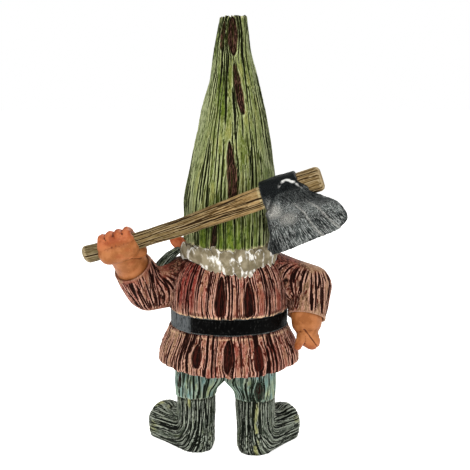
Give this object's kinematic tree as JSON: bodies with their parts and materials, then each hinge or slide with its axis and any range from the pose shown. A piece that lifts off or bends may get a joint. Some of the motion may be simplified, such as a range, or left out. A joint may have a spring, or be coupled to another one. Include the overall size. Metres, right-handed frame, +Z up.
{
  "type": "garden gnome",
  "caption": "Standing garden gnome in a tall broken-topped bark hat and belted tunic, one hand on its hip, the other holding an eye hoe across its back.",
  "frame": {"origin": "on the ground, under the middle of the whole figure's bounding box", "axes": "+Z up the figure, -Y the way the gnome faces, +X its left hand's side"},
  "size_m": [0.1979, 0.1151, 0.3404],
  "materials": {
    "hat_paint": "painted resin, moss green over dark grooves",
    "skin_paint": "painted resin, warm tan",
    "hair_paint": "painted resin, white over grey",
    "tunic_paint": "painted resin, red-brown bark with a light wash",
    "belt_paint": "painted resin, satin black",
    "buckle_paint": "painted resin, aged brass colour",
    "trouser_paint": "painted resin, pale teal bark",
    "boot_paint": "painted resin, dark green-black with grey highlights",
    "handle_paint": "painted resin, tan wood grain",
    "blade_paint": "painted resin, charcoal with silver dry-brushing",
    "pin_steel": "plain steel",
    "plug_rubber": "plain black"
  },
  "bodies": {
    "root": {"hat": "hat_paint", "head": "skin_paint", "hair": "hair_paint", "beard": "hair_paint", "moustache": "hair_paint", "tunic_top": "tunic_paint", "tunic_skirt": "tunic_paint", "belt": "belt_paint", "buckle": "buckle_paint", "buckle_prong": "buckle_paint", "left_trouser_leg": "trouser_paint", "right_trouser_leg": "trouser_paint", "left_boot": "boot_paint", "right_boot": "boot_paint", "left_sleeve": "tunic_paint", "right_sleeve": "tunic_paint", "left_fist": "skin_paint", "right_hand": "skin_paint", "hoe_handle": "handle_paint", "hoe_blade": "blade_paint", "neck_dowel": "pin_steel", "left_shoulder_pin": "pin_steel", "right_shoulder_pin": "pin_steel", "left_leg_rod": "pin_steel", "right_leg_rod": "pin_steel", "vent_plug": "plug_rubber"}
  },
  "joints": []
}
